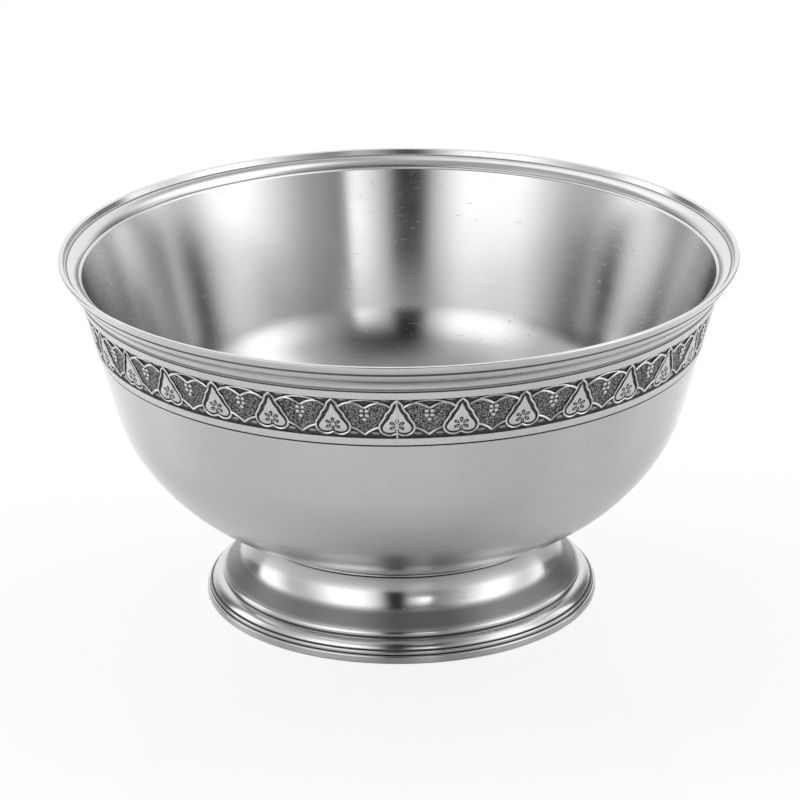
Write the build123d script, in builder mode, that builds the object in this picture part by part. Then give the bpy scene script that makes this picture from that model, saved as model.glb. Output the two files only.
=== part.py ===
# A footed bowl in pewter, in four pieces that are soldered together: a spun bowl, a moulded
# ring that caps its edge, a strip of leaf ornament let into its side, and a flared foot.
# Millimetres, +Z up, with the origin on the table under the middle of the foot.
import os
from math import asin, atan2, cos, hypot, pi, radians, sin, sqrt, tan

from build123d import *

os.makedirs("parts", exist_ok=True)

# Overall sizes
rim_radius = 63.5
total_height = 68.0
base_radius = 37.2
neck_radius = 30.1
belly_clearance = 12.1

# Bowl: a straight leaning side, a tight bilge, a long belly arc and a flat middle
wall = 1.2
edge_drop = 2.8
side_angle = 15.1
bilge_height = 38.5
bilge_radius = 26.0
bilge_angle = 32.7

# Moulded ring, inside: top land, riser and roll, down to the bowl's bare edge
rim_overhang = 3.0
land_width = 0.85
land_fall = 0.06
riser_width = 0.65
riser_drop = 1.0
roll_bulge = 0.35
edge_cover = 0.5

# Moulded ring, outside: two reeds and a cove, with a notch under each reed
outer_round = 0.12
upper_reed_width = 0.75
upper_reed_drop = 1.43
lower_reed_width = 1.15
lower_reed_drop = 1.38
reed_bulge = 0.1
notch_depth = 0.38
notch_step = 0.3
notch_height = 0.46
cove_width = 1.05
cove_drop = 1.58
cove_bulge = 0.16
ring_foot_width = 0.2
ring_foot_drop = 0.44

# Strip of ornament: lengths along the leaning side, depths square to it
strip_height = 11.6
strip_thickness = 0.6
strip_proud = 0.12
strip_bevel = 0.16
border_height = 1.6
relief = 0.36

# Leaves of the strip, each a point over two round lobes, and the soldered seam over one of them
leaf_count = 32
leaf_height = 7.5
leaf_top_gap = 0.2
leaf_shortfall = 0.05
lobe_radius = 1.72
lobe_offset = 1.46
seam_width = 0.3
seam_proud = 0.06

# Foot: a bead at the neck, a hollow waist, a straight flare and a stepped base
neck_bead = 0.5
neck_bead_bulge = 0.2
neck_undercut = 0.62
seat_width = 1.9
skirt_hollow = 1.06
skirt_wall = 1.3
flare_width = 2.58
flare_rise = 2.33
plinth_height = 1.5
plinth_step = 0.5
plinth_round = 0.2
lower_fillet_height = 0.8
lower_fillet_width = 0.4
ovolo_height = 1.6
ovolo_width = 2.2
ovolo_bulge = 0.45
upper_fillet_height = 0.9
crease = 0.15
rest_width = 2.4

lean = radians(side_angle)
turn = radians(bilge_angle)
edge_height = total_height - edge_drop
edge_radius = rim_radius - rim_overhang


def side_radius(height, depth=0.0):
    """Radius of the bowl's leaning side at a height, a given depth under its surface."""
    return edge_radius - (edge_height - height) * tan(lean) - depth / cos(lean)


# The bilge arc is tangent to the side, and the belly arc to the bilge and the flat middle
bilge_centre = (
    side_radius(bilge_height) - bilge_radius * cos(lean),
    bilge_height + bilge_radius * sin(lean),
)
belly_radius = (bilge_centre[1] - bilge_radius * sin(turn) - belly_clearance) / (1 - sin(turn))
belly_centre = (
    bilge_centre[0] + (bilge_radius - belly_radius) * cos(turn),
    belly_clearance + belly_radius,
)


def around(centre, radius, angle):
    """Point on an arc of the bowl's profile, its angle measured down from level."""
    return (centre[0] + radius * cos(angle), centre[1] - radius * sin(angle))


def bowl_skin(depth):
    """Half profile of the bowl from its edge to its axis, a given depth under its surface."""
    return (
        (side_radius(edge_height, depth), edge_height),
        around(bilge_centre, bilge_radius - depth, lean),
        around(bilge_centre, bilge_radius - depth, (lean + turn) / 2),
        around(bilge_centre, bilge_radius - depth, turn),
        around(belly_centre, belly_radius - depth, (turn + pi / 2) / 2),
        around(belly_centre, belly_radius - depth, pi / 2),
        (0, belly_clearance + depth),
    )


def underside(radius):
    """Point of the bowl's underside at a radius from the axis."""
    reach = max(radius - belly_centre[0], 0)
    return (radius, belly_centre[1] - sqrt(belly_radius**2 - reach**2))


# The strip starts where the moulded ring ends, and lies in a channel cut into the side
outer_drop = outer_round + upper_reed_drop + lower_reed_drop + 2 * notch_height + cove_drop + ring_foot_drop
strip_top = total_height - outer_drop
channel_depth = strip_thickness - strip_proud


def on_side(down, depth):
    """Point a distance down the side from the strip's top, a given depth under the side."""
    height = strip_top - down * cos(lean)
    return (side_radius(height) - depth * cos(lean), height + depth * sin(lean))


with BuildPart() as bowl:
    with BuildSketch(Plane.XZ):
        with BuildLine():
            outer = bowl_skin(0)
            inner = bowl_skin(wall)
            for skin in (outer, inner):
                Line(skin[0], skin[1])
                ThreePointArc(skin[1], skin[2], skin[3])
                ThreePointArc(skin[3], skin[4], skin[5])
                Line(skin[5], skin[6])
            Line(outer[0], inner[0])
            Line(outer[6], inner[6])
        make_face()
        with BuildLine():
            Polyline(
                on_side(0, -wall),
                on_side(0, channel_depth),
                on_side(strip_height, channel_depth),
                on_side(strip_height, -wall),
                close=True,
            )
        make_face(mode=Mode.SUBTRACT)
    revolve(axis=Axis.Z)
bowl.part.label = "bowl"
export_step(bowl.part, "parts/bowl.step")


with BuildPart() as rim_moulding:
    with BuildSketch(Plane.XZ):
        with BuildLine():
            # Inside, from the bowl's edge up to the top land
            land_edge = (rim_radius - land_width, total_height - land_fall)
            riser_foot = (land_edge[0] - riser_width, land_edge[1] - riser_drop)
            roll_foot = (edge_radius - edge_cover, edge_height)
            SagittaArc(riser_foot, roll_foot, -roll_bulge)
            Line(riser_foot, land_edge)
            Line(land_edge, (rim_radius - outer_round, total_height))
            # Outside, from the top land down to the strip
            start = (rim_radius, total_height - outer_round)
            Line((rim_radius - outer_round, total_height), start)
            for width, drop in ((upper_reed_width, upper_reed_drop), (lower_reed_width, lower_reed_drop)):
                lip = (start[0] - width, start[1] - drop)
                root = (lip[0] - notch_depth, lip[1] - notch_height / 2)
                SagittaArc(start, lip, reed_bulge)
                start = (lip[0] - notch_step, lip[1] - notch_height)
                Polyline(lip, root, start)
            cove_foot = (start[0] - cove_width, start[1] - cove_drop)
            SagittaArc(start, cove_foot, -cove_bulge)
            ring_foot = (cove_foot[0] - ring_foot_width, strip_top)
            # Back face, on the bowl's side and over part of its edge
            Polyline(cove_foot, ring_foot, on_side(0, 0), (edge_radius, edge_height), roll_foot)
        make_face()
    revolve(axis=Axis.Z)
rim_moulding.part.label = "rim_moulding"
export_step(rim_moulding.part, "parts/rim_moulding.step")


# The leaf is drawn flat on a plane that touches the side at the middle of the strip
strip_middle = on_side(strip_height / 2, 0)
leaf_plane = Plane(
    origin=(0, -strip_middle[0], strip_middle[1]),
    x_dir=(1, 0, 0),
    z_dir=(0, -cos(lean), -sin(lean)),
)
ground_height = strip_height - 2 * border_height
ground_depth = relief - strip_proud
leaf_tip = (0, ground_height / 2 - leaf_top_gap)
lobe_centre = (lobe_offset, leaf_tip[1] - leaf_height + lobe_radius)
tip_to_lobe = hypot(lobe_centre[0], leaf_tip[1] - lobe_centre[1])
shoulder_run = sqrt(tip_to_lobe**2 - lobe_radius**2)
shoulder_angle = atan2(lobe_centre[1] - leaf_tip[1], lobe_centre[0]) + asin(lobe_radius / tip_to_lobe)
shoulder = (shoulder_run * cos(shoulder_angle), leaf_tip[1] + shoulder_run * sin(shoulder_angle))
leaf_notch = (0, lobe_centre[1] - sqrt(lobe_radius**2 - lobe_offset**2))

with BuildPart() as leaf:
    with BuildSketch(leaf_plane):
        with BuildLine():
            for side in (1, -1):
                Line(leaf_tip, (side * shoulder[0], shoulder[1]))
                ThreePointArc(
                    (side * shoulder[0], shoulder[1]),
                    (side * lobe_centre[0], lobe_centre[1] - lobe_radius),
                    leaf_notch,
                )
        make_face()
    extrude(amount=strip_thickness, both=True)
    with BuildSketch(Plane.XZ):
        with BuildLine():
            leaf_face = leaf_shortfall - strip_proud
            leaf_root = (ground_depth + channel_depth) / 2
            Polyline(
                on_side(border_height, leaf_face),
                on_side(border_height, leaf_root),
                on_side(strip_height - border_height, leaf_root),
                on_side(strip_height - border_height, leaf_face),
                close=True,
            )
        make_face()
    revolve(axis=Axis.Z, mode=Mode.INTERSECT)

with BuildPart() as seam:
    with BuildSketch(leaf_plane):
        Rectangle(seam_width, ground_height + border_height)
    extrude(amount=strip_thickness, both=True)
    with BuildSketch(Plane.XZ):
        with BuildLine():
            Polyline(
                on_side(border_height / 2, -strip_proud),
                on_side(border_height, leaf_face - seam_proud),
                on_side(strip_height - border_height, leaf_face - seam_proud),
                on_side(strip_height - border_height / 2, -strip_proud),
                on_side(strip_height - border_height / 2, leaf_root),
                on_side(border_height / 2, leaf_root),
                close=True,
            )
        make_face()
    revolve(axis=Axis.Z, mode=Mode.INTERSECT)

with BuildPart() as ornament_band:
    with BuildSketch(Plane.XZ):
        with BuildLine():
            Polyline(
                on_side(0, channel_depth),
                on_side(0, strip_bevel - strip_proud),
                on_side(strip_bevel, -strip_proud),
                on_side(border_height, -strip_proud),
                on_side(border_height, ground_depth),
                on_side(strip_height - border_height, ground_depth),
                on_side(strip_height - border_height, -strip_proud),
                on_side(strip_height - strip_bevel, -strip_proud),
                on_side(strip_height, strip_bevel - strip_proud),
                on_side(strip_height, channel_depth),
                close=True,
            )
        make_face()
    revolve(axis=Axis.Z)
    with PolarLocations(0, leaf_count):
        add(leaf.part)
    add(seam.part)
ornament_band.part.label = "ornament_band"
export_step(ornament_band.part, "parts/ornament_band.step")


# The foot's mouldings step inwards from the plinth up to the flare of the skirt
lower_fillet_radius = base_radius - plinth_step
ovolo_foot = (lower_fillet_radius - lower_fillet_width, plinth_height + lower_fillet_height)
ovolo_top = (ovolo_foot[0] - ovolo_width, ovolo_foot[1] + ovolo_height)
skirt_foot = (ovolo_top[0], ovolo_top[1] + upper_fillet_height)
flare_top = (skirt_foot[0] - flare_width, skirt_foot[1] + flare_rise)

with BuildPart() as foot:
    with BuildSketch(Plane.XZ):
        with BuildLine():
            # Seat against the bowl's underside, and the bead beside it
            seat_outer = underside(neck_radius)
            seat_inner = underside(neck_radius - seat_width)
            ThreePointArc(seat_inner, underside(neck_radius - seat_width / 2), seat_outer)
            bead_foot = (seat_outer[0], seat_outer[1] - neck_bead)
            SagittaArc(seat_outer, bead_foot, neck_bead_bulge)
            skirt_top = (bead_foot[0] - neck_undercut, bead_foot[1] - crease)
            Line(bead_foot, skirt_top)
            SagittaArc(skirt_top, flare_top, -skirt_hollow)
            Line(flare_top, skirt_foot)
            # Upper fillet, ovolo, lower fillet and plinth
            Polyline(
                skirt_foot,
                (ovolo_top[0], ovolo_top[1] + 2 * crease),
                (ovolo_top[0] - crease, ovolo_top[1] + crease),
                ovolo_top,
            )
            SagittaArc(ovolo_top, ovolo_foot, ovolo_bulge)
            Polyline(
                ovolo_foot,
                (lower_fillet_radius - crease, ovolo_foot[1]),
                (lower_fillet_radius, ovolo_foot[1] - crease),
                (lower_fillet_radius, plinth_height + crease),
                (lower_fillet_radius - crease, plinth_height),
                (base_radius - crease, plinth_height),
                (base_radius, plinth_height - crease),
                (base_radius, plinth_round),
                (base_radius - plinth_round, 0),
                (base_radius - rest_width, 0),
                (skirt_foot[0] - skirt_wall, skirt_foot[1] - skirt_wall / 2),
                (flare_top[0] - skirt_wall, flare_top[1] - skirt_wall / 2),
            )
            # Inside of the waist, up to the seat
            SagittaArc((flare_top[0] - skirt_wall, flare_top[1] - skirt_wall / 2), seat_inner, skirt_hollow)
        make_face()
    revolve(axis=Axis.Z)
foot.part.label = "foot"
export_step(foot.part, "parts/foot.step")
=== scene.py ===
# A footed bowl in pewter: a spun bowl, a turned ring round its edge, a cast strip of leaf
# ornament let into its side, and a turned foot. Metres, +Z up, with the photographed side at -Y.
from math import asin, copysign, cos, hypot, pi, radians, sin, sqrt, tan

import bpy
from mathutils import Matrix, Vector


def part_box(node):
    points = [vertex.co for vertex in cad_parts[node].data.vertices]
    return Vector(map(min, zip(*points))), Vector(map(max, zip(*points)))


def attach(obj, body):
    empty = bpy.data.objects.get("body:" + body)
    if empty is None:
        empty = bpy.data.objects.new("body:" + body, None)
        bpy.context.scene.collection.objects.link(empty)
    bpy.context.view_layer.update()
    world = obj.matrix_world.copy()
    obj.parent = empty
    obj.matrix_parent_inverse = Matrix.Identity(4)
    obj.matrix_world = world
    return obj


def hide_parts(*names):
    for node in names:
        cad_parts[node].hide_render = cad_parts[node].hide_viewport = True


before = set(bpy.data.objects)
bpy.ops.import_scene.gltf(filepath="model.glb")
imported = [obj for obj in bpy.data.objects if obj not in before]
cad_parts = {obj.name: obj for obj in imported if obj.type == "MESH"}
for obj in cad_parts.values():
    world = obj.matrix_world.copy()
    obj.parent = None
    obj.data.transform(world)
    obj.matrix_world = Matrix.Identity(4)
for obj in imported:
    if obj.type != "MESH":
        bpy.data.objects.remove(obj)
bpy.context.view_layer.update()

bpy.ops.object.select_all(action="DESELECT")
mm = 0.001

# Overall sizes, from the frame
rim_low, rim_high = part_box("rim_moulding")
bowl_low, bowl_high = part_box("bowl")
rim_radius = rim_high.x
total_height = rim_high.z
strip_top = rim_low.z
edge_radius = bowl_high.x
edge_height = bowl_high.z
belly_clearance = bowl_low.z
base_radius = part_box("foot")[1].x

# Bowl
wall = 1.2 * mm
lean = radians(15.1)
bilge_height = 38.5 * mm
bilge_radius = 26.0 * mm
bilge_turn = radians(32.7)
lip_chamfer = 0.35 * mm
lip_bulge = 0.02 * mm

# Moulded ring: land, riser and roll inside, two reeds, two notches and a cove outside
land_width = 0.85 * mm
land_fall = 0.06 * mm
riser_width = 0.65 * mm
riser_drop = 1.0 * mm
riser_slope = 0.34 * mm
riser_step = 0.1 * mm
roll_bulge = 0.35 * mm
edge_cover = 0.8 * mm
outer_round = 0.12 * mm
reeds = ((0.75 * mm, 1.43 * mm), (1.15 * mm, 1.38 * mm))
reed_bulge = 0.1 * mm
notch_depth = 0.38 * mm
notch_step = 0.3 * mm
notch_height = 0.46 * mm
cove_width = 1.05 * mm
cove_drop = 1.58 * mm
cove_bulge = 0.16 * mm
ring_foot_width = 0.2 * mm

# Strip: heights along the leaning side, depths square to it
strip_height = 11.6 * mm
strip_proud = 0.12 * mm
strip_bevel = 0.16 * mm
channel_depth = 0.48 * mm
border_height = 1.6 * mm
ground_depth = 0.24 * mm

# Foot
neck_radius = 30.1 * mm
neck_bead = 0.5 * mm
neck_bead_bulge = 0.2 * mm
neck_undercut = 0.62 * mm
seat_width = 1.9 * mm
skirt_hollow = 1.06 * mm
skirt_wall = 1.3 * mm
flare_width = 2.58 * mm
flare_rise = 2.33 * mm
flare_edge = 0.35 * mm
flare_edge_bulge = 0.07 * mm
upper_fillet_height = 0.9 * mm
ovolo_height = 1.6 * mm
ovolo_width = 2.2 * mm
ovolo_bulge = 0.45 * mm
lower_fillet_height = 0.8 * mm
lower_fillet_width = 0.4 * mm
plinth_height = 1.5 * mm
plinth_step = 0.5 * mm
plinth_round = 0.2 * mm
crease = 0.15 * mm
rest_width = 2.4 * mm

# Ornament, drawn flat: X across, Z up the side, both from the middle of the ground. Outlines and
# places are in millimetres, and an outline is the right half of its shape
leaf_count = 32
pitch = 2 * pi / leaf_count

leaf_rib_half = (
    (0.0, 3.88), (0.48, 3.4), (0.86, 2.95), (1.02, 2.35), (1.4, 1.6), (1.92, 0.95), (2.14, 0.3),
    (2.62, -0.55), (3.0, -1.2), (3.1, -2.0), (2.82, -2.85), (2.1, -3.42), (1.3, -3.6), (0.6, -3.45),
    (0.0, -3.12),
)
leaf_rib_radius = 0.2 * mm
leaf_rib_depth = 0.12 * mm

leaf_field_half = (
    (0.0, 3.2), (0.3, 2.4), (0.66, 1.4), (1.16, 0.6), (1.5, -0.2), (2.05, -0.95), (2.46, -1.6),
    (2.58, -2.25), (2.2, -2.85), (1.5, -3.08), (0.8, -3.02), (0.0, -2.78),
)
leaf_field_depth = 0.3 * mm
leaf_field_steps = ((0.03 * mm, 0.22 * mm), (0.05 * mm, 0.05 * mm), (0.06 * mm, 0.02 * mm))

# A petal's and its bed's half width, half length and half depth, as shares of 1 mm, and its sink
petal_shape = (0.08, 0.33, 0.12, 0.02 * mm)
petal_bed_shape = (0.33, 0.6, 0.04, 0.01 * mm)
petal_count = 6
petal_flare = 0.35
petal_reach = 0.9 * mm
flower_drop = 1.5 * mm

# The raised lines from one leaf to the next, each with its thickness
heart_radius = 0.22 * mm
bridge_radius = 0.13 * mm
heart_depth = 0.09 * mm
heart_lines = (
    (heart_radius, ((-4.45, 2.5), (-3.5, 3.1), (-2.5, 3.34), (-1.3, 3.03), (-0.08, 2.28))),
    (bridge_radius, ((-2.7, 3.52), (-1.5, 3.78), (0.0, 3.92))),
    (heart_radius, ((-2.6, -1.85), (-1.75, -2.18), (-0.9, -2.7), (-0.04, -3.4))),
)

stipple_half = (
    (0.0, 2.4), (1.2, 3.1), (2.4, 3.44), (3.3, 3.25), (4.05, 2.75), (3.95, 2.2), (3.5, 1.25),
    (3.0, 0.45), (2.72, -0.4), (2.35, -1.1), (2.3, -1.9), (1.75, -2.2), (0.9, -2.72), (0.0, -3.4),
)
stipple_corners = {0, 4, 10, 13, 16, 22}
stipple_depth = 0.3 * mm
stipple_thickness = 0.14 * mm
stipple_cut_step = 1.0 * mm
stipple_cuts_each_side = 4

berry_places = ((-0.5, 1.62), (0.46, 1.62), (-0.5, 0.68), (0.46, 0.68), (0.0, -0.2))
berry_radius = 0.38 * mm
berry_flatness = 0.75
berry_sink = 0.09 * mm

# The low mounds' places, with their half widths and half heights as shares of 1 mm
lens_places = (
    (-1.95, -3.2, 0.9, 0.4), (1.95, -3.2, 0.9, 0.4), (-3.7, 3.84, 1.0, 0.22), (3.7, 3.84, 1.0, 0.22),
)
lens_flatness = 0.2
lens_sink = 0.2 * mm

seam_width = 0.26 * mm
seam_end_gap = 0.45 * border_height
seam_height = strip_height - 2 * seam_end_gap
seam_depth = 0.34 * mm
seam_rise = 0.02 * mm
seam_crown = 0.16 * mm
seam_taper_share = 0.2
seam_end_share = 0.5
seam_cuts = 8

# Painted shade in the crevices, joints and undercuts: how far each reaches, and how dark it is at its deepest
strip_foot_shade = (0.3 * mm, 1.0)
neck_line_shade = (0.3 * mm, 1.0)
roll_shade = (0.22 * mm, 0.6)
riser_shade = (0.26 * mm, 0.65)
notch_shades = ((0.34 * mm, 0.85), (0.32 * mm, 0.6))
cove_shade = (0.3 * mm, 0.65)
ring_foot_shade = (0.3 * mm, 0.9)
strip_edge_shades = ((0.28 * mm, 1.0), (0.3 * mm, 1.0))
seat_shade = (0.3 * mm, 1.0)
neck_shade = (0.6 * mm, 1.0)
upper_fillet_shade = (0.3 * mm, 0.85)
lower_fillet_shade = (0.36 * mm, 0.9)
plinth_shade = (0.36 * mm, 0.9)
# Painted shade on the upper flare, under the neck
flare_shade = (2.8 * mm, 0.6)
shade_core_share = 0.45
# Colour of the painted crevice shade, also used for the darkening of the sunk marks
shade_and_mark_colour = "#1E1E1E"

# Turned and buffed pewter. The real rings are about a tenth as wide: they are drawn as coarse as
# they need to be to show
turning_width = 0.35 * mm
turning_length = 30 * mm
mark_width = 0.22 * mm
mark_length = 1.6 * mm
raised_mark_limits = (0.66, 0.8)
sunk_mark_limits = (0.34, 0.2)
cloud_size = 14 * mm
cloud_share = 0.7
roughness_spread = 0.16
mark_roughness = 0.15
mark_blackness = 0.25
crevice_roughness = 0.35
brushing_turn = 0.25

# Cast and blackened pewter
patina_depth = 0.2 * mm
grain_size = 0.4 * mm
grain_depth = 0.004 * mm
grain_wear = 0.6
noise_middle = 0.5
punch_size = 0.23 * mm
punch_depth = 0.05 * mm
punch_limits = (0.42, 0.66)
antique_roughness = (0.32, 0.6)

# How finely arcs, curves and balls are divided, and how far buffing has rounded the edges
spin_steps = 256
arc_steps = 12
bulge_steps = 10
belly_steps = 32
waist_steps = 24
hollow_steps = 16
flare_edge_steps = 6
curve_steps = 5
ball_steps = 2
buffing_steps = 2
buffing = 0.08 * mm
fine_buffing = 0.05 * mm
buffed_angle = radians(30)
smooth_angle = radians(50)
tiny = 0.001 * mm

# Studio. Azimuths are turned from the front, -Y, towards +X, and elevations from the bowl's middle
tent_radius = 0.42
tent_height = 30 * mm
tent_segments = 96
tent_grey = 0.45

# Soft boxes, cards and dark gaps round the bowl, as its metal mirrors them. Each has its first and last
# azimuth, its lowest and highest elevation, how softly each of the four edges fades, and its radiance
tent_patches = (
    ((99, 260), (-30, 23), (5, 4, 8, 6), 0.19),  # gap behind the bowl
    ((148, 220), (-30, 43), (10, 15, 8, 9), 1.11),  # wall behind the bowl
    ((-174, -134), (37, 80), (15, 8, 8, 10), 1.45),  # high card, behind left
    ((66, 142), (38, 80), (12, 19, 10, 10), 1.75),  # high card, behind right
    ((-115, -82), (-30, 30), (3, 4, 5, 3), 1.7),  # card at the far left
    ((-91, -60), (-30, 67), (9, 7, 5, 15), 0.7),  # wall at the left
    ((-60, -18), (-30, 43), (14, 12, 5, 12), 1.75),  # soft box, front left
    ((97, 117), (-30, 29), (16, 2, 8, 2), 1.5),  # wall at the right
    ((51, 87), (-30, 39), (19, 15, 8, 8), 1.85),  # soft box at the right
    ((19, 29), (-30, 55), (3, 4, 4, 5), 0.3),  # gap beside the soft box
    ((-16, 34), (38, 59), (18, 18, 10, 6), 0.0),  # black above the front
    ((11, 21), (10, 28), (10, 1, 2, 12), 2.2),  # bright slit
    ((-11, 3), (-30, 50), (4, 3, 4, 4), 0.0),  # black card in front
)

# Each lamp's azimuth, elevation, distance and width in metres, and power in watts
lamps = {
    "left_lamp": (-115, 38, 0.6, 0.4, 2.3),
    "right_lamp": (120, 38, 0.6, 0.4, 1.8),
    "rear_lamp": (175, 60, 1.0, 0.8, 1.0),
}

floor_radius = 2.5
floor_segments = 96
floor_gap = 0.02 * mm
white = (1, 1, 1, 1)
board_colour = "#F2F2F2"
board_roughness = 0.12
board_ior = 1.45
white_radii = (40 * mm, 170 * mm)
white_shares = (0.85, 0.985)
sky_light = 0.35

camera_lens = 188.16
camera_sensor = 36.0
camera_distance = 739.42 * mm
camera_height = 319.58 * mm
camera_tilt = radians(90 - 20.851)
camera_roll = radians(-0.4835)
camera_turn = radians(0.55)


def side_radius(height, depth=0.0):
    """Radius of the leaning side at a height, a given depth under its surface."""
    return edge_radius - (edge_height - height) * tan(lean) - depth / cos(lean)


def on_side(down, depth):
    """Point a distance down the side from the strip's top, a given depth under the side."""
    height = strip_top - down * cos(lean)
    return (side_radius(height) - depth * cos(lean), height + depth * sin(lean))


def sweep(centre, radius, start, end, steps=arc_steps):
    """Points of an arc whose angles are measured down from level."""
    angles = [start + (end - start) * i / steps for i in range(steps + 1)]
    return [(centre[0] + radius * cos(a), centre[1] - radius * sin(a)) for a in angles]


def bulge(start, end, rise, steps=bulge_steps):
    """Points after the start, on an arc that rises to the left of the line, or to its right if negative."""
    start, end = Vector(start), Vector(end)
    along = (end - start).normalized()
    left = Vector((-along.y, along.x)) * copysign(1, rise)
    half = (end - start).length / 2
    radius = (half**2 + rise**2) / (2 * abs(rise))
    centre = (start + end) / 2 + left * (abs(rise) - radius)
    reach = asin(half / radius)
    angles = [reach * (2 * i / steps - 1) for i in range(1, steps + 1)]
    return [tuple(centre + left * radius * cos(a) + along * radius * sin(a)) for a in angles]


strip_middle = on_side(strip_height / 2, 0)
bilge_centre = (
    side_radius(bilge_height) - bilge_radius * cos(lean),
    bilge_height + bilge_radius * sin(lean),
)
bilge_bottom = bilge_centre[1] - bilge_radius * sin(bilge_turn)
belly_radius = (bilge_bottom - belly_clearance) / (1 - sin(bilge_turn))
belly_centre = (
    bilge_centre[0] + (bilge_radius - belly_radius) * cos(bilge_turn),
    belly_clearance + belly_radius,
)


def underside(radius):
    """Point of the bowl's underside at a radius from the axis."""
    reach = max(radius - belly_centre[0], 0)
    return (radius, belly_centre[1] - sqrt(belly_radius**2 - reach**2))


def below_side(depth):
    """Bilge and belly from the foot of the side to the axis, a given depth under the surface."""
    bilge = sweep(bilge_centre, bilge_radius - depth, lean, bilge_turn)
    belly = sweep(belly_centre, belly_radius - depth, bilge_turn, pi / 2, belly_steps)
    return bilge + belly[1:] + [(0, belly_clearance + depth)]


def spin_round(name, outline):
    """Draws half of a section point by point from one vertex, and spins it round the bowl's axis."""
    bpy.ops.mesh.primitive_plane_add(size=mm)
    piece = bpy.context.active_object
    piece.name = name
    bpy.ops.object.mode_set(mode="EDIT")
    bpy.ops.mesh.merge(type="CENTER")
    here = Vector((outline[0][0], 0, outline[0][1]))
    bpy.ops.transform.translate(value=here)
    for radius, height in outline[1:]:
        there = Vector((radius, 0, height))
        bpy.ops.mesh.extrude_region_move(TRANSFORM_OT_translate={"value": there - here})
        here = there
    bpy.ops.mesh.select_all(action="SELECT")
    bpy.ops.mesh.spin(steps=spin_steps, angle=2 * pi, center=(0, 0, 0), axis=(0, 0, 1))
    bpy.ops.mesh.select_all(action="SELECT")
    bpy.ops.mesh.remove_doubles(threshold=tiny)
    bpy.ops.mesh.normals_make_consistent(inside=False)
    bpy.ops.object.mode_set(mode="OBJECT")
    return piece


def soften(piece, width):
    """Rounds the sharp edges of a turned piece, as buffing does."""
    bevel = piece.modifiers.new("buffed edges", "BEVEL")
    bevel.width = width
    bevel.segments = buffing_steps
    bevel.limit_method = "ANGLE"
    bevel.angle_limit = buffed_angle
    bevel.use_clamp_overlap = True
    bpy.ops.object.modifier_apply(modifier=bevel.name)
    weighted = piece.modifiers.new("flat faces lead", "WEIGHTED_NORMAL")
    bpy.ops.object.shade_smooth()
    bpy.ops.object.modifier_apply(modifier=weighted.name)


def make_bowl_shell():
    """The spun shell, drawn from the middle of its underside round the edge to the middle inside."""
    strip_foot = on_side(strip_height, 0)
    outside = [(edge_radius, edge_height), on_side(0, 0), on_side(0, channel_depth)]
    outside += [on_side(strip_height, channel_depth), strip_foot] + below_side(0)
    lip_start = (side_radius(edge_height, wall) + lip_chamfer, edge_height)
    lip_end = (side_radius(edge_height - lip_chamfer, wall), edge_height - lip_chamfer)
    inside = [lip_start] + bulge(lip_start, lip_end, -lip_bulge) + below_side(wall)
    shell = spin_round("bowl_shell", outside[::-1] + inside)
    soften(shell, buffing)
    # Painted shade at the strip's foot and along the line where the foot meets the underside
    return shell, ((*strip_foot, *strip_foot_shade), (*underside(neck_radius), *neck_line_shade))


def make_rim_ring():
    """The turned ring: inside up to the land, then down the reeds and the cove, and back up the bowl."""
    land_edge = (rim_radius - land_width, total_height - land_fall)
    riser_foot = (land_edge[0] - riser_width, land_edge[1] - riser_drop)
    riser_turn = (land_edge[0] - riser_slope, riser_foot[1] + riser_step)
    roll_foot = (edge_radius - edge_cover, edge_height)
    outline = [roll_foot] + bulge(roll_foot, riser_foot, roll_bulge)
    outline += [riser_turn, land_edge, (rim_radius - outer_round, total_height)]
    start = (rim_radius, total_height - outer_round)
    outline.append(start)
    # Painted shade in the ring's crevices: at the roll's foot, the riser, the notches, the cove's foot and
    # the ring's foot
    crevices = [(*roll_foot, *roll_shade), (*riser_foot, *riser_shade)]
    for (width, drop), notch_shade in zip(reeds, notch_shades):
        lip = (start[0] - width, start[1] - drop)
        notch = (lip[0] - notch_depth, lip[1] - notch_height / 2)
        outline += bulge(start, lip, reed_bulge) + [notch]
        crevices.append((*notch, *notch_shade))
        start = (lip[0] - notch_step, lip[1] - notch_height)
        outline.append(start)
    cove_foot = (start[0] - cove_width, start[1] - cove_drop)
    outline += bulge(start, cove_foot, -cove_bulge)
    outline += [(cove_foot[0] - ring_foot_width, strip_top), on_side(0, 0)]
    outline += [(edge_radius, edge_height), roll_foot]
    crevices += [(*cove_foot, *cove_shade), (*on_side(0, 0), *ring_foot_shade)]
    ring = spin_round("rim_ring", outline)
    soften(ring, fine_buffing)
    return ring, crevices


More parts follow.
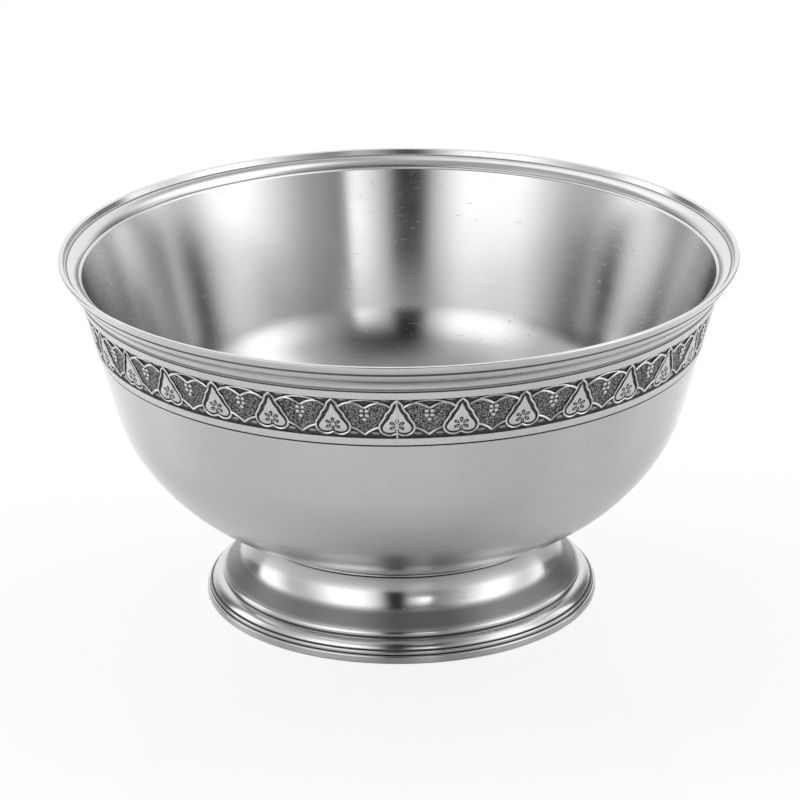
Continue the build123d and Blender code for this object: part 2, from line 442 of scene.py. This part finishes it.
def make_foot():
    """The turned foot: neck bead, hollow waist, straight flare, mouldings, and the hollow under it."""
    seat_outer = underside(neck_radius)
    seat_inner = underside(neck_radius - seat_width)
    bead_foot = (seat_outer[0], seat_outer[1] - neck_bead)
    skirt_top = (bead_foot[0] - neck_undercut, bead_foot[1] - crease)
    fillet_radius = base_radius - plinth_step
    ovolo_foot = (fillet_radius - lower_fillet_width, plinth_height + lower_fillet_height)
    ovolo_top = (ovolo_foot[0] - ovolo_width, ovolo_foot[1] + ovolo_height)
    ovolo_crease = (ovolo_top[0] - crease, ovolo_top[1] + crease)
    skirt_foot = (ovolo_top[0], ovolo_top[1] + upper_fillet_height)
    flare_top = (skirt_foot[0] - flare_width, skirt_foot[1] + flare_rise)
    share = flare_edge / hypot(flare_width, flare_rise)
    edge_start = (skirt_foot[0] - share * flare_width, skirt_foot[1] + share * flare_rise)
    edge_end = (skirt_foot[0], skirt_foot[1] - flare_edge)
    hollow_foot = (skirt_foot[0] - skirt_wall, skirt_foot[1] - skirt_wall / 2)
    hollow_top = (flare_top[0] - skirt_wall, flare_top[1] - skirt_wall / 2)
    plinth_crease = (fillet_radius - crease, plinth_height)

    outline = [seat_inner, underside(neck_radius - seat_width / 2), seat_outer]
    outline += bulge(seat_outer, bead_foot, neck_bead_bulge) + [skirt_top]
    outline += bulge(skirt_top, flare_top, -skirt_hollow, waist_steps) + [edge_start]
    outline += bulge(edge_start, edge_end, flare_edge_bulge, flare_edge_steps)
    outline += [(ovolo_top[0], ovolo_top[1] + 2 * crease), ovolo_crease, ovolo_top]
    outline += bulge(ovolo_top, ovolo_foot, ovolo_bulge)
    outline += [
        (fillet_radius - crease, ovolo_foot[1]),
        (fillet_radius, ovolo_foot[1] - crease),
        (fillet_radius, plinth_height + crease),
        plinth_crease,
        (base_radius - crease, plinth_height),
        (base_radius, plinth_height - crease),
        (base_radius, plinth_round),
        (base_radius - plinth_round, 0),
        (base_radius - rest_width, 0),
        hollow_foot,
        hollow_top,
    ]
    outline += bulge(hollow_top, seat_inner, skirt_hollow, hollow_steps)
    # Painted shade at the seat, under the bead, beside the fillets and the plinth, and on the upper flare
    crevices = (
        (*seat_outer, *seat_shade),
        (*skirt_top, *neck_shade),
        (*ovolo_crease, *upper_fillet_shade),
        (*ovolo_foot, *lower_fillet_shade),
        (*plinth_crease, *plinth_shade),
        (flare_top[0] + flare_width / 4, flare_top[1] - flare_rise / 4, *flare_shade),
    )
    foot = spin_round("turned_foot", outline)
    soften(foot, buffing)
    return foot, crevices


def make_strip_ground():
    """The strip's back, bevelled borders and sunk ground."""
    outline = [
        on_side(0, channel_depth),
        on_side(0, strip_bevel - strip_proud),
        on_side(strip_bevel, -strip_proud),
        on_side(border_height, -strip_proud),
        on_side(border_height, ground_depth),
        on_side(strip_height / 2, ground_depth),
        on_side(strip_height - border_height, ground_depth),
        on_side(strip_height - border_height, -strip_proud),
        on_side(strip_height - strip_bevel, -strip_proud),
        on_side(strip_height, strip_bevel - strip_proud),
        on_side(strip_height, channel_depth),
        on_side(0, channel_depth),
    ]
    ground = spin_round("strip_ground", outline)
    soften(ground, fine_buffing)
    # Painted shade along the strip's top and bottom edges
    edges = (on_side(0, 0), on_side(strip_height, 0))
    return ground, [(*edge, *edge_shade) for edge, edge_shade in zip(edges, strip_edge_shades)]


def mirrored(half):
    """A closed outline from its right half, which starts and ends in the middle."""
    return [*half, *((-across, up) for across, up in reversed(half[1:-1]))]


def draw_curve(name, points, depth, corners, closed, thickness=0.0):
    """A smooth curve through points in millimetres, sharp at the numbered corners, made a mesh."""
    bpy.ops.curve.primitive_bezier_curve_add()
    piece = bpy.context.active_object
    piece.name = name
    curve = piece.data
    curve.dimensions = "3D"
    curve.resolution_u = curve_steps
    curve.bevel_depth = thickness
    curve.bevel_resolution = 1
    curve.use_fill_caps = True
    spline = curve.splines[0]
    spline.bezier_points.add(len(points) - len(spline.bezier_points))
    spline.use_cyclic_u = closed
    for number, (point, (across, up)) in enumerate(zip(spline.bezier_points, points)):
        point.co = (across * mm, depth, up * mm)
        handle = "VECTOR" if number in corners else "AUTO"
        point.handle_left_type = handle
        point.handle_right_type = handle
    bpy.ops.object.convert(target="MESH")
    return piece


def fill_outline(piece):
    """Closes a drawn outline with one face that looks outwards, towards -Y."""
    bpy.ops.object.mode_set(mode="EDIT")
    bpy.ops.mesh.select_all(action="SELECT")
    bpy.ops.mesh.remove_doubles(threshold=tiny)
    bpy.ops.mesh.edge_face_add()
    bpy.ops.object.mode_set(mode="OBJECT")
    if piece.data.polygons[0].normal.y > 0:
        piece.data.flip_normals()


def lay_on_side(piece, turn=0.0):
    """Wraps a flat piece round the leaning side of the bowl, with its middle turned from the front."""
    for vertex in piece.data.vertices:
        across, out, up = vertex.co.x, -vertex.co.y, vertex.co.z
        radius = strip_middle[0] + up * sin(lean) + out * cos(lean)
        angle = turn + across / strip_middle[0]
        height = strip_middle[1] + up * cos(lean) - out * sin(lean)
        vertex.co = (radius * sin(angle), -radius * cos(angle), height)


def join(name, pieces):
    """Joins pieces of one material into one object."""
    bpy.ops.object.select_all(action="DESELECT")
    for piece in pieces:
        piece.select_set(True)
    bpy.context.view_layer.objects.active = pieces[0]
    bpy.ops.object.join()
    pieces[0].name = name
    return pieces[0]


def repeat_round(piece):
    """Copies a wrapped piece all round the bowl, once for each leaf."""
    bpy.ops.object.select_all(action="DESELECT")
    piece.select_set(True)
    bpy.context.view_layer.objects.active = piece
    bpy.ops.object.mode_set(mode="EDIT")
    bpy.ops.mesh.select_all(action="SELECT")
    copies = leaf_count - 1
    bpy.ops.mesh.spin(steps=copies, dupli=True, angle=pitch * copies, center=(0, 0, 0), axis=(0, 0, 1))
    bpy.ops.mesh.select_all(action="SELECT")
    bpy.ops.mesh.normals_make_consistent(inside=False)
    bpy.ops.object.mode_set(mode="OBJECT")
    bpy.ops.object.shade_smooth_by_angle(angle=smooth_angle)
    return piece


def make_leaf_rows():
    """Leaves: a raised rib round each leaf, and a flat field inside it with a groove between them."""
    ends = {0, len(leaf_rib_half) - 1}
    rib = draw_curve("leaf_rib", mirrored(leaf_rib_half), leaf_rib_depth, ends, True, leaf_rib_radius)
    lay_on_side(rib)
    ends = {0, len(leaf_field_half) - 1}
    field = draw_curve("leaf_field", mirrored(leaf_field_half), leaf_field_depth, ends, True)
    fill_outline(field)
    bpy.ops.object.mode_set(mode="EDIT")
    bpy.ops.mesh.select_all(action="SELECT")
    for inward, outward in leaf_field_steps:
        bpy.ops.mesh.inset(thickness=inward, depth=outward, use_even_offset=False)
    bpy.ops.object.mode_set(mode="OBJECT")
    lay_on_side(field)
    return repeat_round(rib), repeat_round(field)


def make_petal(turn, half_width, half_length, half_depth, sink):
    """A drop that widens away from the middle of its flower, turned from straight up."""
    bpy.ops.mesh.primitive_ico_sphere_add(subdivisions=ball_steps, radius=mm)
    petal = bpy.context.active_object
    for vertex in petal.data.vertices:
        x, y, z = vertex.co
        across = x * half_width * (1 + petal_flare * z / mm)
        along = z * half_length + petal_reach
        vertex.co = (
            across * cos(turn) + along * sin(turn),
            y * half_depth + sink,
            along * cos(turn) - across * sin(turn) - flower_drop,
        )
    lay_on_side(petal)
    return petal


def make_flower_rows():
    """Petals in the middle of each leaf, each in a dark bed that stands for black filling and painted shade
    round it.
    """
    petals, beds = [], []
    for number in range(petal_count):
        turn = number * 2 * pi / petal_count
        petals.append(make_petal(turn, *petal_shape))
        beds.append(make_petal(turn, *petal_bed_shape))
    petal_row = repeat_round(join("petal_row", petals))
    bed_row = repeat_round(join("petal_bed_row", beds))
    return petal_row, bed_row


def make_heart_row():
    """The raised lines between two leaves: two bumps that meet in a notch, a bridge and a pointed foot."""
    pieces = []
    for thickness, line in heart_lines:
        for side in (1, -1):
            points = [(side * across, up) for across, up in line]
            ends = {0, len(points) - 1}
            piece = draw_curve("heart_line", points, heart_depth, ends, False, thickness)
            lay_on_side(piece, pitch / 2)
            pieces.append(piece)
    return repeat_round(join("heart_row", pieces))


def make_stipple_row():
    """The stippled field inside each heart, a little above the ground."""
    field = draw_curve("stipple", mirrored(stipple_half), stipple_depth, stipple_corners, True)
    fill_outline(field)
    bpy.ops.object.mode_set(mode="EDIT")
    bpy.ops.mesh.select_all(action="SELECT")
    bpy.ops.mesh.extrude_region_move(TRANSFORM_OT_translate={"value": (0, -stipple_thickness, 0)})
    for number in range(-stipple_cuts_each_side, stipple_cuts_each_side + 1):
        bpy.ops.mesh.select_all(action="SELECT")
        bpy.ops.mesh.bisect(plane_co=(number * stipple_cut_step, 0, 0), plane_no=(1, 0, 0))
    bpy.ops.object.mode_set(mode="OBJECT")
    lay_on_side(field, pitch / 2)
    return repeat_round(field)


def make_berry_row():
    """Five berries below the notch of each heart."""
    berries = []
    for across, up in berry_places:
        bpy.ops.mesh.primitive_ico_sphere_add(subdivisions=ball_steps, radius=berry_radius)
        berry = bpy.context.active_object
        for vertex in berry.data.vertices:
            x, y, z = vertex.co
            vertex.co = (x + across * mm, y * berry_flatness + berry_sink, z + up * mm)
        lay_on_side(berry, pitch / 2)
        berries.append(berry)
    return repeat_round(join("berry_row", berries))


def make_lens_row():
    """Low lens-shaped mounds between the hearts, the leaves and the borders."""
    lenses = []
    for across, up, width, height in lens_places:
        bpy.ops.mesh.primitive_ico_sphere_add(subdivisions=ball_steps, radius=mm)
        lens = bpy.context.active_object
        for vertex in lens.data.vertices:
            x, y, z = vertex.co
            vertex.co = (x * width + across * mm, y * lens_flatness + lens_sink, z * height + up * mm)
        lay_on_side(lens, pitch / 2)
        lenses.append(lens)
    return repeat_round(join("lens_row", lenses))


def make_seam():
    """The soldered butt joint of the strip, a thin raised line through the front leaf."""
    bpy.ops.mesh.primitive_cube_add(size=1)
    seam = bpy.context.active_object
    seam.name = "strip_seam"
    bpy.ops.object.mode_set(mode="EDIT")
    bpy.ops.mesh.subdivide(number_cuts=seam_cuts)
    bpy.ops.object.mode_set(mode="OBJECT")
    for vertex in seam.data.vertices:
        x, y, z = vertex.co
        end = max(abs(z) * 2 - (1 - seam_taper_share), 0) / seam_taper_share
        vertex.co = (
            x * seam_width * (1 - seam_end_share * end),
            y * seam_depth - seam_rise + abs(x) * seam_crown,
            z * seam_height,
        )
    lay_on_side(seam)
    return seam


def linear(hex_colour):
    """Linear RGBA of an sRGB hex colour."""
    channels = [int(hex_colour[i:i + 2], 16) / 255 for i in (1, 3, 5)]
    return [c / 12.92 if c <= 0.04045 else ((c + 0.055) / 1.055) ** 2.4 for c in channels] + [1.0]


def add_node(tree, kind, inputs=(), **settings):
    """Adds a node. Its inputs, in order or by name, are values, sockets, or nodes for their first output."""
    node = tree.nodes.new("ShaderNode" + kind)
    for name, value in settings.items():
        setattr(node, name, value)
    for name, value in inputs.items() if isinstance(inputs, dict) else enumerate(inputs):
        if isinstance(value, bpy.types.Node):
            value = value.outputs[0]
        if isinstance(value, bpy.types.NodeSocket):
            tree.links.new(value, node.inputs[name])
        else:
            node.inputs[name].default_value = value
    return node


def new_material(name):
    """An empty material and its node tree."""
    material = bpy.data.materials.new(name)
    material.use_nodes = True
    material.node_tree.nodes.clear()
    return material, material.node_tree


def locate(tree):
    """Object coordinates, whole and split up, the radius from the axis, and the place in the section."""
    place = add_node(tree, "TexCoord").outputs["Object"]
    parts = add_node(tree, "SeparateXYZ", (place,)).outputs
    squares = [add_node(tree, "Math", (part, part), operation="MULTIPLY") for part in parts[:2]]
    radius = add_node(tree, "Math", (add_node(tree, "Math", squares, operation="ADD"),), operation="SQRT")
    section = add_node(tree, "CombineXYZ", (radius, parts[2]))
    return place, parts, radius, section


def turning_noise(tree, parts, radius, width, length, **inputs):
    """Noise drawn out round the axis, as wide and as long as the marks that turning and buffing leave."""
    slow = width / length
    slow_x, slow_y = (add_node(tree, "Math", (part, slow), operation="MULTIPLY") for part in parts[:2])
    vector = add_node(tree, "CombineXYZ", (radius, parts[2], slow_x))
    inputs = {"Vector": vector, "W": slow_y, "Scale": 1 / width, **inputs}
    return add_node(tree, "TexNoise", inputs, noise_dimensions="4D")


def painted_crevice_shade(tree, section, crevices):
    """Painted shade in the crevices: full in their depth and none beyond their reach."""
    black = 0.0
    for radius, height, reach, darkness in crevices:
        distance = add_node(tree, "VectorMath", (section, (radius, height, 0)), operation="DISTANCE")
        fade = (distance.outputs["Value"], reach * shade_core_share, reach, darkness, 0.0)
        near = add_node(tree, "MapRange", fade, interpolation_type="SMOOTHSTEP")
        black = add_node(tree, "Math", (black, near), operation="MAXIMUM")
    return black


def finish_metal(tree, inputs):
    """The metal's shader and the material's output."""
    shader = add_node(tree, "BsdfPrincipled", {"Metallic": 1.0, **inputs})
    add_node(tree, "OutputMaterial", {"Surface": shader})


def make_pewter(name, bright, dull, roughness, anisotropy, ring_depth, mark_depth, crevices):
    """Pewter turned and buffed: fine rings round the axis, short marks, soft clouds and painted shade in the
    crevices.
    """
    material, tree = new_material(name)
    place, parts, radius, section = locate(tree)
    rings = turning_noise(tree, parts, radius, turning_width, turning_length, Detail=2.0, Roughness=0.6)
    marks = turning_noise(tree, parts, radius, mark_width, mark_length, Detail=1.0, Roughness=0.5)
    clouds = add_node(tree, "TexNoise", {"Vector": place, "Scale": 1 / cloud_size, "Detail": 4.0})
    raised_marks = add_node(
        tree, "MapRange", (marks, *raised_mark_limits, 0.0, 1.0), interpolation_type="SMOOTHSTEP")
    sunk_marks = add_node(
        tree, "MapRange", (marks, *sunk_mark_limits, 0.0, 1.0), interpolation_type="SMOOTHSTEP")
    ring_part = add_node(tree, "Math", (rings, 1 - cloud_share), operation="MULTIPLY")
    mixed = add_node(tree, "Math", (clouds, cloud_share, ring_part), operation="MULTIPLY_ADD")
    metal = add_node(tree, "Mix", {0: mixed, 6: linear(dull), 7: linear(bright)}, data_type="RGBA")
    # Painted shade in the crevices; the real darkening of the sunk marks joins it below
    black = painted_crevice_shade(tree, section, crevices)
    mark_black = add_node(tree, "Math", (sunk_marks, mark_blackness), operation="MULTIPLY")
    dark = add_node(tree, "Math", (black, mark_black), operation="MAXIMUM")
    colour = add_node(tree, "Mix", {0: dark, 6: metal.outputs[2], 7: linear(shade_and_mark_colour)}, data_type="RGBA")
    least = roughness - roughness_spread / 2
    rough = add_node(tree, "Math", (mixed, roughness_spread, least), operation="MULTIPLY_ADD")
    rough = add_node(tree, "Math", (sunk_marks, mark_roughness, rough), operation="MULTIPLY_ADD")
    rough = add_node(tree, "Math", (black, crevice_roughness, rough), operation="MULTIPLY_ADD")
    ring_bump = add_node(tree, "Bump", {"Height": rings, "Distance": ring_depth})
    relief = add_node(tree, "Math", (raised_marks, sunk_marks), operation="SUBTRACT")
    mark_bump = add_node(tree, "Bump", {"Height": relief, "Distance": mark_depth, "Normal": ring_bump})
    tangent = add_node(tree, "Tangent", direction_type="RADIAL", axis="Z")
    finish_metal(tree, {
        "Base Color": colour.outputs[2], "Roughness": rough, "Normal": mark_bump, "Tangent": tangent,
        "Anisotropic": anisotropy, "Anisotropic Rotation": brushing_turn})
    return material


def finish_antique(tree, blackness, relief, relief_depth, dark, bright):
    """Antique finish: dark and matt where it is black, bright and smoother where it is rubbed."""
    blackness = add_node(tree, "Clamp", (blackness,))
    colour = add_node(tree, "Mix", {0: blackness, 6: linear(bright), 7: linear(dark)}, data_type="RGBA")
    rough = add_node(tree, "MapRange", (blackness, 0.0, 1.0, *antique_roughness))
    bump = add_node(tree, "Bump", {"Height": relief, "Distance": relief_depth})
    finish_metal(tree, {"Base Color": colour.outputs[2], "Roughness": rough, "Normal": bump})


def make_antique_pewter(name, dark, bright, crevices=()):
    """Cast pewter, blackened and rubbed back: dark by depth under the side, bright on what stands up."""
    material, tree = new_material(name)
    place, parts, radius, section = locate(tree)
    side_at_zero = edge_radius - edge_height * tan(lean)
    side = add_node(tree, "Math", (parts[2], tan(lean), side_at_zero), operation="MULTIPLY_ADD")
    inwards = add_node(tree, "Math", (side, radius), operation="SUBTRACT")
    depth = add_node(tree, "Math", (inwards, cos(lean)), operation="MULTIPLY")
    patina = add_node(tree, "MapRange", (depth, 0.0, patina_depth, 0.0, 1.0), interpolation_type="SMOOTHSTEP")
    # Painted shade in the given crevices, on top of the patina by depth
    if crevices:
        black = painted_crevice_shade(tree, section, crevices)
        patina = add_node(tree, "Math", (patina, black), operation="MAXIMUM")
    grain = add_node(tree, "TexNoise", {"Vector": place, "Scale": 1 / grain_size, "Detail": 3.0})
    uneven = add_node(tree, "Math", (grain, noise_middle), operation="SUBTRACT")
    blackness = add_node(tree, "Math", (uneven, grain_wear, patina), operation="MULTIPLY_ADD")
    finish_antique(tree, blackness, grain, grain_depth, dark, bright)
    return material


def make_stippled_pewter(name, dark, bright):
    """Cast pewter under a close texture of punch marks, with black left in the marks."""
    material, tree = new_material(name)
    place = add_node(tree, "TexCoord").outputs["Object"]
    punches = add_node(tree, "TexNoise", {
        "Vector": place, "Scale": 1 / punch_size, "Detail": 1.0, "Roughness": 0.6})
    blackness = add_node(
        tree, "MapRange", (punches, *punch_limits, 1.0, 0.0), interpolation_type="SMOOTHSTEP")
    finish_antique(tree, blackness, punches, punch_depth, dark, bright)
    return material


def dress(piece, material):
    """Gives a finished piece its material and its body."""
    piece.data.materials.clear()
    piece.data.materials.append(material)
    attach(piece, "root")


def between(tree, angle, low, high, low_fade, high_fade):
    """1 between two angles and 0 beyond them, with a soft edge at each."""
    rise, fall = (
        add_node(
            tree, "MapRange", (angle, radians(edge - fade), radians(edge + fade)),
            interpolation_type="SMOOTHSTEP")
        for edge, fade in ((low, low_fade), (high, high_fade)))
    return add_node(tree, "Math", (rise, fall), operation="SUBTRACT")


def make_tent():
    """A round tent that only the metal's reflections show, painted with the studio's soft boxes."""
    bpy.ops.mesh.primitive_uv_sphere_add(
        segments=tent_segments, ring_count=tent_segments // 2, radius=tent_radius,
        location=(0, 0, tent_height))
    tent = bpy.context.active_object
    tent.name = "tent"
    bpy.ops.object.transform_apply(location=True)
    material, tree = new_material("painted tent")
    _, parts, radius, _ = locate(tree)
    front = add_node(tree, "Math", (parts[1], -1), operation="MULTIPLY")
    azimuth = add_node(tree, "Math", (parts[0], front), operation="ARCTAN2")
    above = add_node(tree, "Math", (parts[2], tent_height), operation="SUBTRACT")
    elevation = add_node(tree, "Math", (above, radius), operation="ARCTAN2")
    shade = tent_grey
    for (first, last), (low, high), fades, radiance in tent_patches:
        middle = (first + last) / 2
        turned = add_node(tree, "Math", (azimuth, radians(middle)), operation="SUBTRACT")
        turned = add_node(tree, "Math", (turned, pi, -pi), operation="WRAP")
        across = between(tree, turned, first - middle, last - middle, *fades[:2])
        upward = between(tree, elevation, low, high, *fades[2:])
        mask = add_node(tree, "Math", (across, upward), operation="MULTIPLY")
        change = add_node(tree, "Math", (radiance, shade), operation="SUBTRACT")
        change = add_node(tree, "Math", (mask, change), operation="MULTIPLY")
        shade = add_node(tree, "Math", (shade, change), operation="ADD")
    glow = add_node(tree, "Emission", {"Strength": shade})
    add_node(tree, "OutputMaterial", {"Surface": glow})
    material.cycles.emission_sampling = "NONE"
    tent.data.materials.append(material)
    tent.visible_camera = False
    tent.visible_diffuse = False
    tent.visible_shadow = False


def hang_lamp(name, azimuth, elevation, distance, width, watts):
    """A soft lamp that lights the board under the bowl; the metal mirrors the tent instead."""
    turn, rise = radians(azimuth), radians(elevation)
    data = bpy.data.lights.new(name, "AREA")
    data.size = width
    data.energy = watts
    lamp = bpy.data.objects.new(name, data)
    bpy.context.scene.collection.objects.link(lamp)
    aim = Vector((0, 0, total_height / 2))
    direction = Vector((sin(turn) * cos(rise), -cos(turn) * cos(rise), sin(rise)))
    lamp.location = aim + direction * distance
    lamp.rotation_euler = direction.to_track_quat("Z", "Y").to_euler()
    lamp.visible_camera = False
    lamp.visible_glossy = False


def make_floor():
    """A white board with a faint gloss, which the camera sees whiter the further it is from the bowl."""
    bpy.ops.mesh.primitive_circle_add(
        vertices=floor_segments, radius=floor_radius, fill_type="NGON", location=(0, 0, -floor_gap))
    floor = bpy.context.active_object
    floor.name = "floor"
    material, tree = new_material("white board")
    board = add_node(tree, "BsdfPrincipled", {
        "Base Color": linear(board_colour), "Roughness": board_roughness, "IOR": board_ior})
    glow = add_node(tree, "Emission", {"Color": white})
    radius = locate(tree)[2]
    cover = add_node(tree, "MapRange", (radius, *white_radii, *white_shares), interpolation_type="SMOOTHSTEP")
    seen = add_node(tree, "LightPath").outputs["Is Camera Ray"]
    shown = add_node(tree, "Math", (seen, cover), operation="MULTIPLY")
    mix = add_node(tree, "MixShader", (shown, board, glow))
    add_node(tree, "OutputMaterial", {"Surface": mix})
    floor.data.materials.append(material)


def make_world():
    """A sky that is white to the eye and in glossy metal, and gives the board a plain, weaker light."""
    world = bpy.data.worlds.new("studio")
    bpy.context.scene.world = world
    world.use_nodes = True
    tree = world.node_tree
    tree.nodes.clear()
    rays = add_node(tree, "LightPath").outputs
    seen = add_node(tree, "Math", (rays["Is Camera Ray"], rays["Is Glossy Ray"]), operation="ADD")
    seen = add_node(tree, "Math", (seen, rays["Is Transmission Ray"]), operation="ADD")
    strength = add_node(tree, "MapRange", (seen, 0.0, 1.0, sky_light, 1.0))
    sky = add_node(tree, "Background", {"Color": white, "Strength": strength})
    add_node(tree, "OutputWorld", {"Surface": sky})


def make_camera():
    """The camera at the photograph's angle, above the front of the bowl."""
    data = bpy.data.cameras.new("camera")
    data.lens = camera_lens
    data.sensor_width = camera_sensor
    camera = bpy.data.objects.new("camera", data)
    bpy.context.scene.collection.objects.link(camera)
    camera.matrix_world = (
        Matrix.Rotation(camera_turn, 4, "Z")
        @ Matrix.Translation((0, -camera_distance, camera_height))
        @ Matrix.Rotation(camera_tilt, 4, "X")
        @ Matrix.Rotation(camera_roll, 4, "Z")
    )
    bpy.context.scene.camera = camera


bowl, bowl_crevices = make_bowl_shell()
ring, ring_crevices = make_rim_ring()
foot, foot_crevices = make_foot()
ground, strip_crevices = make_strip_ground()
leaf_ribs, leaf_fields = make_leaf_rows()
petals, petal_beds = make_flower_rows()
hearts = make_heart_row()
stipple = make_stipple_row()
berries = make_berry_row()
lenses = make_lens_row()
seam = make_seam()

# Spun over a former and buffed: a satin that draws its mirror images out up and down the bowl
bowl_pewter = make_pewter(
    "spun satin pewter", "#D8D8D8", "#CECECE", roughness=0.18, anisotropy=0.75,
    ring_depth=0.0005 * mm, mark_depth=0.002 * mm, crevices=bowl_crevices)

# Turned and buffed with a stick: a lighter satin with thin lines of painted shade between its mouldings
ring_pewter = make_pewter(
    "turned pewter of the ring", "#DCDCDC", "#D2D2D2", roughness=0.2, anisotropy=0.5,
    ring_depth=0.0005 * mm, mark_depth=0.002 * mm, crevices=ring_crevices)

# Turned and polished further: clearer mirror images, and below the neck painted shade on a rougher finish
foot_pewter = make_pewter(
    "turned pewter of the foot", "#D4D4D4", "#CACACA", roughness=0.17, anisotropy=0.3,
    ring_depth=0.0004 * mm, mark_depth=0.0015 * mm, crevices=foot_crevices)

# Cast, blackened and rubbed back: bright lines and leaves over a dark ground, with painted shade along the
# strip's edges
cast_pewter = make_antique_pewter("blackened cast pewter", "#4E4E4E", "#DCDCDC", strip_crevices)

# As cast and barely rubbed: mid-grey mounds low in the ground
lens_pewter = make_antique_pewter("dull cast pewter", "#484848", "#9C9C9C")

# Punched all over: a grey that sparkles in fine grains
stippled_pewter = make_stippled_pewter("stippled cast pewter", "#343434", "#ACACAC")

# Black filling with painted shade round it, never rubbed: the dark outline of each petal
filled_and_shaded_pewter = make_antique_pewter("black-filled cast pewter", "#202020", "#3C3C3C")

dress(bowl, bowl_pewter)
dress(ring, ring_pewter)
dress(foot, foot_pewter)
for piece in (ground, leaf_ribs, leaf_fields, petals, hearts, berries, seam):
    dress(piece, cast_pewter)
dress(stipple, stippled_pewter)
dress(lenses, lens_pewter)
dress(petal_beds, filled_and_shaded_pewter)
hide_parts("bowl")
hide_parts("rim_moulding")
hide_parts("foot")
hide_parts("ornament_band")

make_tent()
for name, lamp in lamps.items():
    hang_lamp(name, *lamp)
make_floor()
make_world()
make_camera()
bpy.context.scene.view_settings.view_transform = "Standard"
